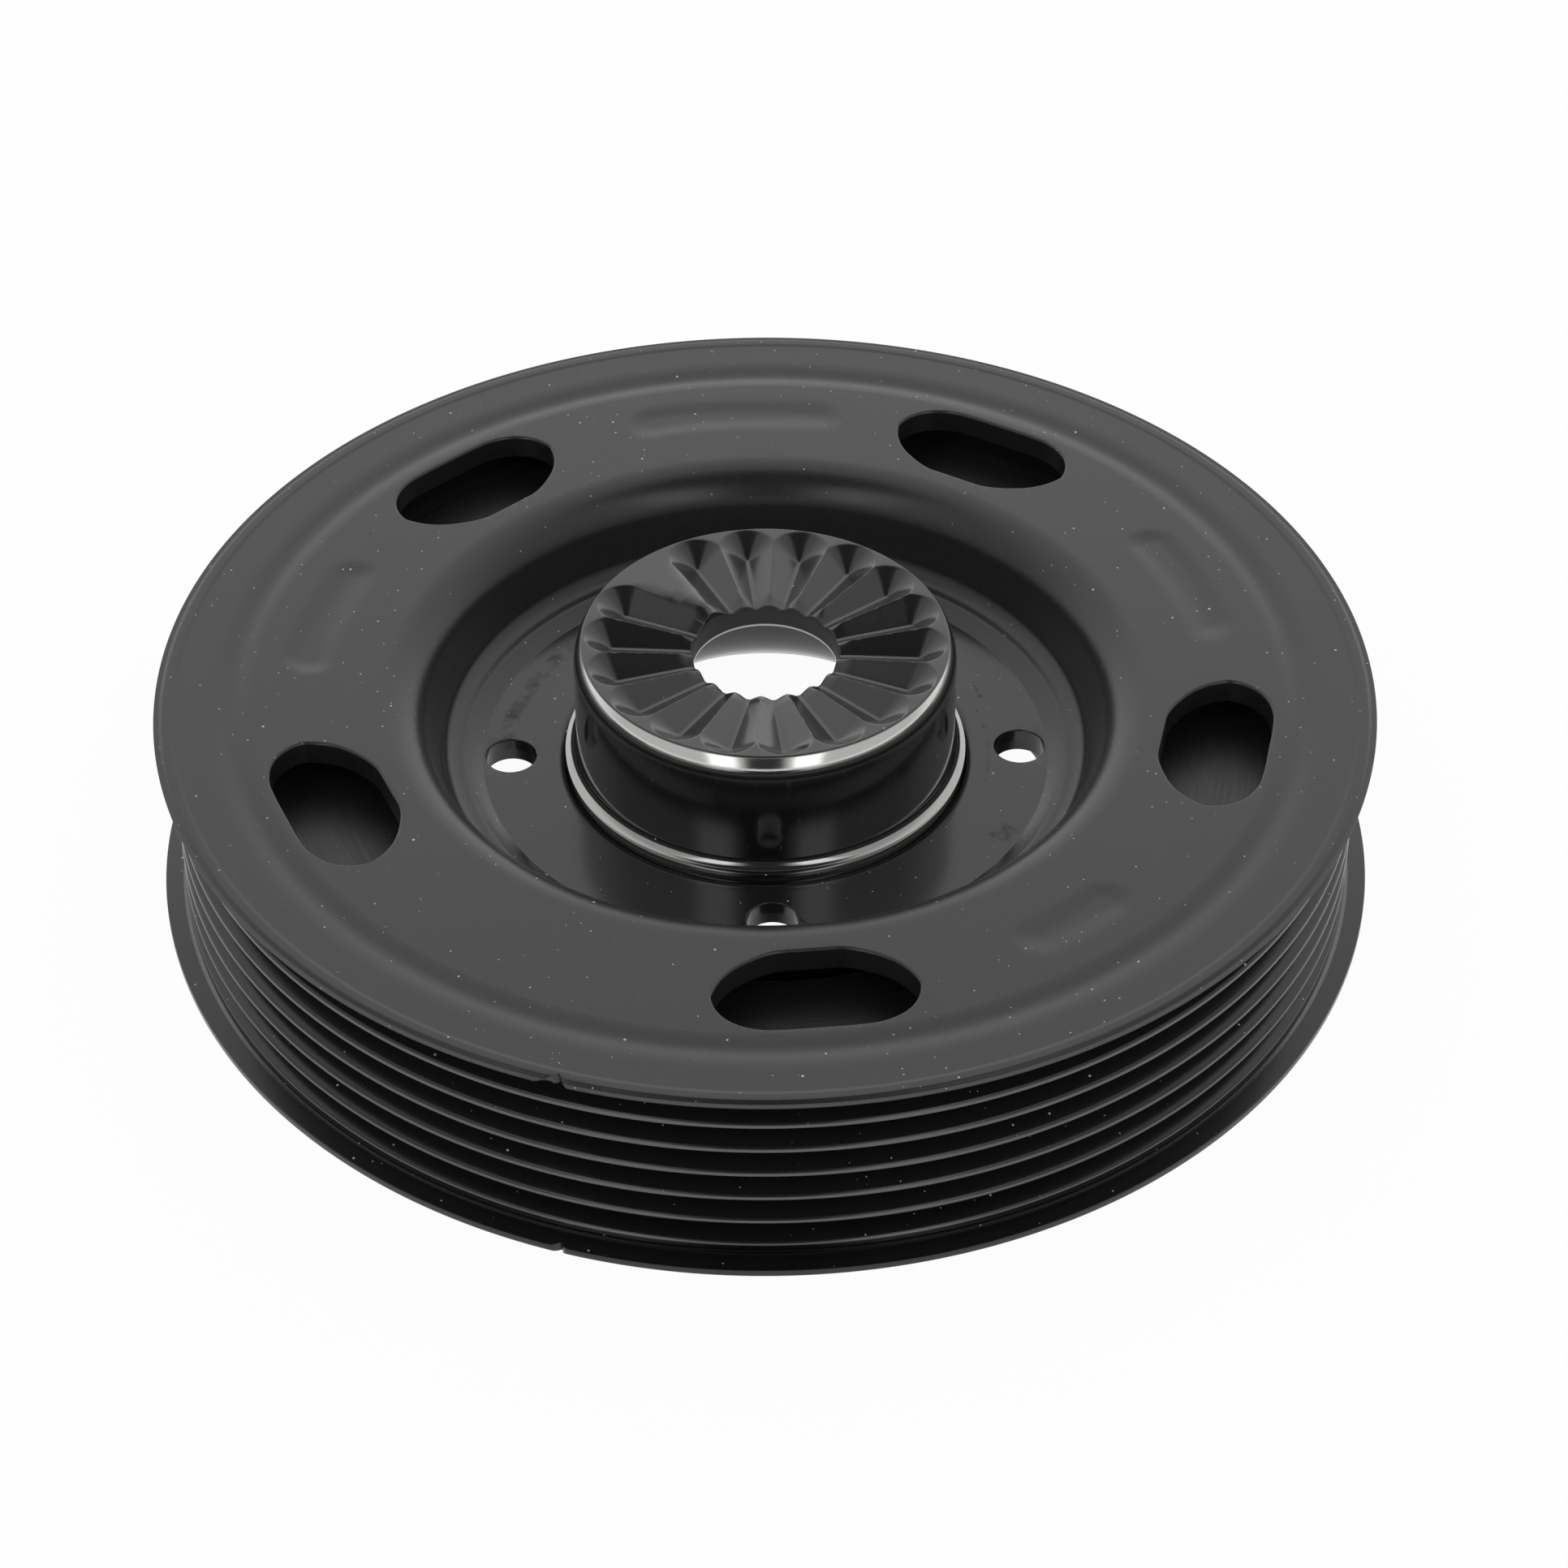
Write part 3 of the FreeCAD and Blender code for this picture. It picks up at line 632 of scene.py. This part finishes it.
def lip_and_grooves(start):
    """Section of the plate's rim, the lip, the grooves, the flange and the rim's inside."""
    line = [(start, PLATE_TOP)]
    line += divided((start, PLATE_TOP), (65.9, PLATE_TOP), 0.42)
    line += [(65.9, PLATE_TOP)]
    to_crest = (CREST_RADIUS - ROOT_RADIUS) * FLANK
    line += eased([
        (65.9, PLATE_TOP), (68.4, 24.97, 0.3), (68.75, LIP_TOP, 0.2),
        (69.7, LIP_TOP, 0.12), (70.1, 24.72, 0.1), (LIP_RADIUS, 24.77, 0.07), (LIP_RADIUS, 24.66, 0.06),
        (CREST_RADIUS, FIRST_GROOVE + GROOVE_ROOT_HALF + to_crest, 0.6),
        (ROOT_RADIUS, FIRST_GROOVE + GROOVE_ROOT_HALF, 0.25),
        (ROOT_RADIUS, FIRST_GROOVE - GROOVE_ROOT_HALF, 0.25),
        (CREST_RADIUS - 1.2, FIRST_GROOVE - GROOVE_ROOT_HALF - to_crest + 1.2 * FLANK)], 2)[1:]

    # Full round crests: each arc touches the flanks of the grooves beside it.
    crest_round = (RIB_PITCH / 2 - GROOVE_ROOT_HALF - to_crest) * math.cos(math.radians(20)) \
        / (1 - math.sin(math.radians(20)))
    for number in range(1, GROOVES):
        middle = FIRST_GROOVE - RIB_PITCH * number
        crest = middle + RIB_PITCH / 2
        line += swing((CREST_RADIUS - crest_round, crest), crest_round, 70, -70, 6)
        last = number == GROOVES - 1
        end = (CREST_RADIUS, middle - GROOVE_ROOT_HALF - to_crest, 0.3) if last else \
            (CREST_RADIUS - 1.2, middle - GROOVE_ROOT_HALF - to_crest + 1.2 * FLANK)
        corners = [line[-1], (ROOT_RADIUS, middle + GROOVE_ROOT_HALF, 0.25),
                   (ROOT_RADIUS, middle - GROOVE_ROOT_HALF, 0.25), end]
        if last:
            corners += [
                (CREST_RADIUS, LAST_LAND_END, 0.15), (CREST_RADIUS - 0.4, LAST_LAND_END - 0.2, 0.1),
                (FLANGE_RADIUS, 1.1, 0.15), (FLANGE_RADIUS, 0.3, 0.12), (FLANGE_RADIUS - 0.3, 0.0, 0.1),
                (RIM_INNER + 0.2, 0.0, 0.1), (RIM_INNER, 0.2, 0.1), (RIM_INNER, PLATE_BOTTOM - 2.5)]
        line += eased(corners, 2)[1:]
    line += swing((RIM_INNER - 2.5, PLATE_BOTTOM - 2.5), 2.5, 0, 90, 5)[1:]
    line += [(start, PLATE_BOTTOM)]
    return line


def bowl_lines(plate, web):
    """Sections of the shoulder, the bowl's wall, the ledge and the slope down to the web,
    seen from above and from below."""
    centre = (SHOULDER_RADIUS, PLATE_TOP - SHOULDER_BEND)
    shoulder = swing(centre, SHOULDER_BEND, 90, 90 + BOWL_WALL, 16)
    foot_height = LEDGE_TOP + FOOT_BEND
    last = shoulder[-1]
    a = math.radians(BOWL_WALL)
    run = (last[1] + FOOT_BEND * math.cos(a) - foot_height) / math.sin(a)
    foot_x = last[0] - FOOT_BEND * math.sin(a) - run * math.cos(a)
    foot = swing((foot_x, foot_height), FOOT_BEND, -90 + BOWL_WALL, -90, 12)
    upper = [(plate, PLATE_TOP)] + shoulder + foot + eased(
        [foot[-1], (foot_x - 0.6, LEDGE_TOP, 0.5), (web, WEB_TOP, 0.7), (web - 0.08, WEB_TOP)])[1:]

    shoulder = swing(centre, SHOULDER_BEND - SHEET, 90, 90 + BOWL_WALL, 8)
    foot = swing((foot_x, foot_height), FOOT_BEND + SHEET, -90 + BOWL_WALL, -90, 10)
    lower = [(plate, PLATE_BOTTOM)] + shoulder + foot + eased(
        [foot[-1], (foot_x - 0.6, LEDGE_TOP - SHEET, 0.5), (web, WEB_BOTTOM, 0.7),
         (web - 0.08, WEB_BOTTOM)])[1:]
    return upper, lower


def pressed_body(finish):
    """Plate, bowl, web and grooved rim: turned sections joined by the flat parts, which
    hold the slots and holes."""
    piece = Piece(BODY_TURNS, NOTCH)
    outer = piece.spin(lip_and_grooves(59.6))
    upper, lower = bowl_lines(45.2, 33.135)
    top_bowl = piece.spin(list(reversed(upper)))
    bottom_bowl = piece.spin(lower)

    # The edge of the web at the hub, rolled over round the collar.
    web_in, inside = 25.0, COLLAR_RADIUS + 0.02
    rolled = swing((inside + ROLLED_EDGE, WEB_TOP - ROLLED_EDGE), ROLLED_EDGE, 90, 180, 9)
    collar = [(web_in, WEB_TOP)] + rolled + eased([
        rolled[-1], (inside, WEB_BOTTOM + 0.15, 0.05), (COLLAR_RADIUS + 0.2, WEB_BOTTOM, 0.05),
        (web_in, WEB_BOTTOM)])[1:]
    hub_side = piece.spin(list(reversed(collar)))

    # Flat parts: the plate with its slots and the web with its holes, above and below.
    slot = slot_outline()
    hole = [Vector(on_circle(WEB_HOLE_RADIUS, 360 * i / 72)) for i in range(72)]
    slots = [punched_wall(piece, slot, SLOT_PHASE + 72 * number, SLOT_CIRCLE,
                          PLATE_TOP, PLATE_BOTTOM, 0.36) for number in range(5)]
    holes = [punched_wall(piece, hole, WEB_HOLE_PHASE + 90 * number, WEB_HOLE_CIRCLE,
                          WEB_TOP, WEB_BOTTOM, 0.16) for number in range(4)]
    grid = []
    for direction, start, end, _ in DENTS:
        for i in range(20):
            r = 49.0 + 9.0 * i / 19
            steps = round((end - start + 2) / 0.45)
            for k in range(steps + 1):
                along = start - 1 + (end - start + 2) * k / steps
                grid.append(on_circle(r, direction + math.degrees(along / r)))
    piece.fill([outer[0], top_bowl[1]] + [top for top, _ in slots], grid, True)
    piece.fill([outer[1], bottom_bowl[0]] + [bottom for _, bottom in slots], [], False)
    piece.fill([top_bowl[0], hub_side[1]] + [top for top, _ in holes], [], True)
    piece.fill([bottom_bowl[1], hub_side[0]] + [bottom for _, bottom in holes], [], False)

    # The bead ring and the pressings sink the plate's upper face.
    for i, (x, y, z) in enumerate(piece.points):
        if abs(z - PLATE_TOP) < 0.001 and 45.0 < math.hypot(x, y) < 66.0:
            piece.points[i] = (x, y, z + plate_relief(x, y))
    cut_notches(piece)
    return piece.build("pressed_body", finish, 40)


def cut_notches(piece):
    """Draws the lip and the flange in at the notch: a V with one steep side."""
    for i, (x, y, z) in enumerate(piece.points):
        r = math.hypot(x, y)
        if z > 21.5 and r > 68.7:
            root = LIP_RADIUS - 1.65
        elif z < 1.7 and r > 69.5:
            root = FLANGE_RADIUS - 0.75
        else:
            continue
        lead = (math.degrees(math.atan2(y, x)) - NOTCH + 180) % 360 - 180
        along = math.radians(lead) * r
        limit = root + abs(along) / math.tan(math.radians(53 if along < 0 else 37))
        if r > limit:
            piece.points[i] = (x * limit / r, y * limit / r, z)


# The hub and the inertia ring

def serration(x, y):
    """Height of the serrated face at a point, with slightly eased ridges and roots.  The
    grooves run out in cones towards the rim; towards the bore the ridges are blunter."""
    r = math.hypot(x, y)
    place = (math.degrees(math.atan2(y, x)) - SERRATION_PHASE) / SERRATION_STEP
    nearest = round(place)
    height = FACE
    blunt = 0.0009 + 0.28 * ramp(10.0 - r, 0.0, 1.6)
    for number in (nearest - 1, nearest, nearest + 1):
        if number % PLACES == PLAIN_PLACE:
            continue
        lead = math.radians((place - number) * SERRATION_STEP)
        ahead, aside = r * math.cos(lead), abs(r * math.sin(lead))
        if ahead > SERRATION_REACH:
            aside = math.hypot(ahead - SERRATION_REACH, aside)
        off = aside - SERRATION_ROOT_HALF
        rise = 0.5 * (off + math.sqrt(off * off + 0.0016))
        flank = FACE - SERRATION_DEPTH + rise * SERRATION_FLANK
        gap = height - flank
        height = 0.5 * (height + flank - math.sqrt(gap * gap + blunt))
    return height


def face_sector(plain):
    """Plan points of one place of the face: along its groove's root, flanks and end, and
    close beside the ridges at both its sides."""
    inner, outer = BORE_RADIUS, FACE_RADIUS - 0.05
    half = math.radians(SERRATION_STEP / 2)
    points = []

    def keep(x, y, margin=0.02):
        r, lead = math.hypot(x, y), abs(math.atan2(y, x))
        if inner + margin < r < outer - margin and r * math.sin(half - lead) > margin and lead < half:
            points.append((x, y))

    spacing = 0.3
    steps = round((outer - inner) / spacing)
    for row in (0.035, 0.08, 0.2):
        for k in range(1, steps):
            r = inner + (outer - inner) * k / steps
            for side in (1, -1):
                lead = side * (half - row / r)
                keep(r * math.cos(lead), r * math.sin(lead))
    if plain:
        for k in range(1, steps, 2):
            r = inner + (outer - inner) * k / steps
            for row in range(-2, 3):
                keep(r * math.cos(half * row / 3), r * math.sin(half * row / 3))
        return points
    full = SERRATION_ROOT_HALF + SERRATION_DEPTH / SERRATION_FLANK
    levels = [0.0, 0.12, 0.19, 0.225, 0.26, 0.33, 0.6, 1.2, 1.8, 2.4, 2.9,
              full - 0.12, full - 0.05, full, full + 0.05, full + 0.12]
    for level in levels:
        for k in range(round((SERRATION_REACH - 7) / spacing)):
            x = SERRATION_REACH - spacing * k
            for side in ((1, -1) if level else (1,)):
                keep(x, side * level, 0.045)
        turns = max(2, round(math.pi * level / spacing))
        for k in range(1, turns):
            a = -math.pi / 2 + math.pi * k / turns
            keep(SERRATION_REACH + level * math.cos(a), level * math.sin(a), 0.045)
    return points


def serrated_face(piece, inner, outer):
    """The serrated end face between the bore's edge and the lead-in."""
    inside = piece.ring(inner, FACE)
    outside = piece.ring(outer, FACE)
    extra = []
    steps = round((outer - inner) / 0.3)
    for place in range(PLACES):
        turn = math.radians(SERRATION_PHASE + SERRATION_STEP * place)
        c, s = math.cos(turn), math.sin(turn)
        for x, y in face_sector(place == PLAIN_PLACE):
            extra.append((x * c - y * s, x * s + y * c))
        edge = turn + math.radians(SERRATION_STEP / 2)
        for k in range(1, steps):
            r = inner + (outer - inner) * k / steps
            extra.append((r * math.cos(edge), r * math.sin(edge)))
    start = len(piece.points)
    piece.fill([outside, inside], extra, True)
    for i in inside + outside + list(range(start, len(piece.points))):
        x, y, _ = piece.points[i]
        piece.points[i] = (x, y, serration(x, y))
    return inside, outside


def bore_edge(piece, inside):
    """The scalloped upper edge of the bore, with small nicks; gives the wall's upper loop."""
    random.seed(11)
    nicks = [(random.uniform(0, 360), random.uniform(0.6, 1.8), random.uniform(0.02, 0.09))
             for _ in range(46)]
    edge = []
    wall = []
    for i in inside:
        x, y, z = piece.points[i]
        turn = math.degrees(math.atan2(y, x)) % 360
        dig = 0.0
        for middle, wide, deep in nicks:
            lead = abs((turn - middle + 180) % 360 - 180)
            if lead < wide:
                dig = max(dig, deep * (1 - lead / wide))
        ux, uy = x / BORE_RADIUS, y / BORE_RADIUS
        r = BORE_RADIUS - 0.05 + dig * 0.6
        edge.append(piece.point(ux * r, uy * r, z - 0.03 - dig))
        wall.append(piece.point(ux * BORE_WALL, uy * BORE_WALL, z - 0.12 - dig * 1.4))
    piece.lining(inside, edge)
    piece.lining(edge, wall)
    return wall


def hub_piece(finish):
    """The hub: its serrated face, then bore and hollow inside, collar and seal surface
    outside."""
    piece = Piece(HUB_TURNS)
    inner, outer = BORE_RADIUS, FACE_RADIUS - 0.05
    inside, outside = serrated_face(piece, inner, outer)
    wall = bore_edge(piece, inside)

    # Bore with a rounded lower edge, bolt seat, hollow and its flared mouth.
    hollow = [(BORE_WALL, 28.6), (BORE_WALL, 26.9)]
    hollow += swing((BORE_WALL + 0.36, 26.76), 0.36, 180, 270, 7)
    hollow += eased([
        hollow[-1], (15.5, HOLLOW_TOP, 0.5), (15.5, 19.6, 1.5), (16.7, 16.6, 1.5), (18.9, 14.2, 1.6),
        (22.1, 11.6, 0.1), (22.3, 11.5, 0.05), (COLLAR_RADIUS - 0.2, 11.5, 0.05),
        (COLLAR_RADIUS, 11.7, 0.05), (COLLAR_RADIUS, 15.0)])[1:]
    loops = [wall] + [piece.ring(r, z) for r, z in hollow]

    # Collar, its hollow-round foot, the seal surface and the rounded lead-in.
    foot = COLLAR_RADIUS - SEAL_RADIUS
    side = eased([(COLLAR_RADIUS, 15.0), (COLLAR_RADIUS, COLLAR_TOP, 0.07),
                  (COLLAR_RADIUS - 0.12, COLLAR_TOP)])
    side += swing((COLLAR_RADIUS, COLLAR_TOP + foot), foot, 270, 180, 16)[2:]
    side += swing(LEAD_IN, LEAD_IN_RADIUS, 0, 38.3, 16)
    side += [(outer + 0.02, FACE - 0.005)]
    loops += [piece.ring(r, z) for r, z in side[1:]] + [outside]
    for first, second in zip(loops, loops[1:]):
        piece.lining(first, second)
    return piece.build("turned_hub", finish, 50)


def inertia_piece(finish):
    """The inertia ring, stepped inside, with a small ledge at the step."""
    piece = Piece(RING_TURNS)
    line = eased([
        (43.8, 12.0), (43.8, 17.8, 0.08), (44.4, 18.4, 0.08), (58.9, 18.4, 0.08), (59.5, 17.8, 0.08),
        (59.5, 2.1, 0.08), (58.9, 1.5, 0.08), (36.1, 1.5, 0.08), (35.5, 2.1, 0.08),
        (35.5, 8.2, 0.3), (34.2, 8.9, 0.1), (34.2, 9.5, 0.1),
        (43.8, 9.5, 0.3), (43.8, 12.0)])
    piece.spin(line)
    return piece.build("turned_inertia_ring", finish, 40)


# The four pieces

sheet_steel = coated_sheet_steel()
hub_steel = ground_and_coated_steel()
ring_iron = turned_cast_iron()
rubber = moulded_rubber()

body = pressed_body(sheet_steel)
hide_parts("pulley_body")
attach(body, "root")

hub = hub_piece(hub_steel)
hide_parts("hub")
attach(hub, "root")

inertia = inertia_piece(ring_iron)
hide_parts("inertia_ring")
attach(inertia, "root")

rubber_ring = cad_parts["rubber_ring"]
for slot in rubber_ring.material_slots:
    slot.material = rubber


# The studio

def table():
    """The pale table: it keeps the shadow, and shows white to the camera and in gloss."""
    mesh = bpy.data.meshes.new("table")
    far = 6.0
    corners = [(-far, -far, 0), (far, -far, 0), (far, far, 0), (-far, far, 0)]
    mesh.from_pydata(corners, [], [(0, 1, 2, 3)])
    item = bpy.data.objects.new("table", mesh)
    bpy.context.scene.collection.objects.link(item)
    finish, tree, shader = new_finish("table_paper")
    shader.inputs["Base Color"].default_value = paint("#f4f4f3")
    shader.inputs["Roughness"].default_value = 0.9
    path = add(tree, "ShaderNodeLightPath")
    seen = maths(tree, "MAXIMUM", path.outputs["Is Glossy Ray"], path.outputs["Is Transmission Ray"])
    seen = maths(tree, "MAXIMUM", path.outputs["Is Camera Ray"], seen)
    glow = add(tree, "ShaderNodeEmission", {"Color": paint("#ffffff"), "Strength": 1.0})
    mix = add(tree, "ShaderNodeMixShader", i0=times(tree, seen, 0.96), i1=shader.outputs[0],
              i2=glow.outputs[0])
    output = next(n for n in tree.nodes if n.type == "OUTPUT_MATERIAL")
    tree.links.new(mix.outputs[0], output.inputs["Surface"])
    item.data.materials.append(finish)


def surroundings():
    """A white tent round the table, brightest behind.  In front it has a dark gap with a
    bright strip at each side.  The camera itself sees plain white."""
    world = bpy.data.worlds.new("studio")
    bpy.context.scene.world = world
    world.use_nodes = True
    tree = world.node_tree
    tree.nodes.clear()
    output = tree.nodes.new("ShaderNodeOutputWorld")
    where = add(tree, "ShaderNodeTexCoord").outputs["Generated"]
    split = add(tree, "ShaderNodeSeparateXYZ", i0=where)
    side = maths(tree, "ABSOLUTE", split.outputs[0])
    back = split.outputs[1]
    walls = spread(tree, back, -0.1, 0.5, 0.7, 1.2, smooth=True)
    lower = spread(tree, back, 0.66, 0.84, 0.0, 0.24, smooth=True)
    walls = maths(tree, "ADD", walls, lower)
    front = spread(tree, back, 0.02, 0.13, 1.0, 0.0, smooth=True)

    # Towards the top the strips end and the gap opens.
    high = spread(tree, split.outputs[2], 0.76, 0.9, smooth=True)
    strip = times(tree, window(tree, side, 0.26, 0.5, 0.04), front)
    strip = times(tree, strip, maths(tree, "SUBTRACT", 1.0, high))
    aside = maths(tree, "SUBTRACT", side, times(tree, high, 0.2))
    gap = times(tree, spread(tree, aside, 0.13, 0.24, 1.0, 0.0, smooth=True), front)
    level = maths(tree, "ADD", walls, times(tree, strip, 1.25))
    level = maths(tree, "SUBTRACT", level, times(tree, gap, 0.66))

    shown = add(tree, "ShaderNodeLightPath").outputs["Is Camera Ray"]
    level = maths(tree, "ADD", times(tree, level, maths(tree, "SUBTRACT", 1.0, shown)), shown)
    light = add(tree, "ShaderNodeBackground", {"Color": paint("#ffffff")}, Strength=level)
    tree.links.new(light.outputs[0], output.inputs["Surface"])


def camera():
    """The photograph's own view: f 5478 pixels on a 1932 pixel frame."""
    data = bpy.data.cameras.new("camera")
    data.sensor_width = 36.0
    data.sensor_fit = "HORIZONTAL"
    data.lens = 102.08
    data.clip_start = 0.01
    data.clip_end = 50.0
    item = bpy.data.objects.new("camera", data)
    item.location = (1.802 * MM, -402.58 * MM, 348.18 * MM)
    item.rotation_euler = (math.radians(90 - 40.083), 0.0, math.radians(-0.053))
    bpy.context.scene.collection.objects.link(item)
    bpy.context.scene.camera = item


bpy.context.scene.view_settings.view_transform = "Standard"
camera()
table()
surroundings()
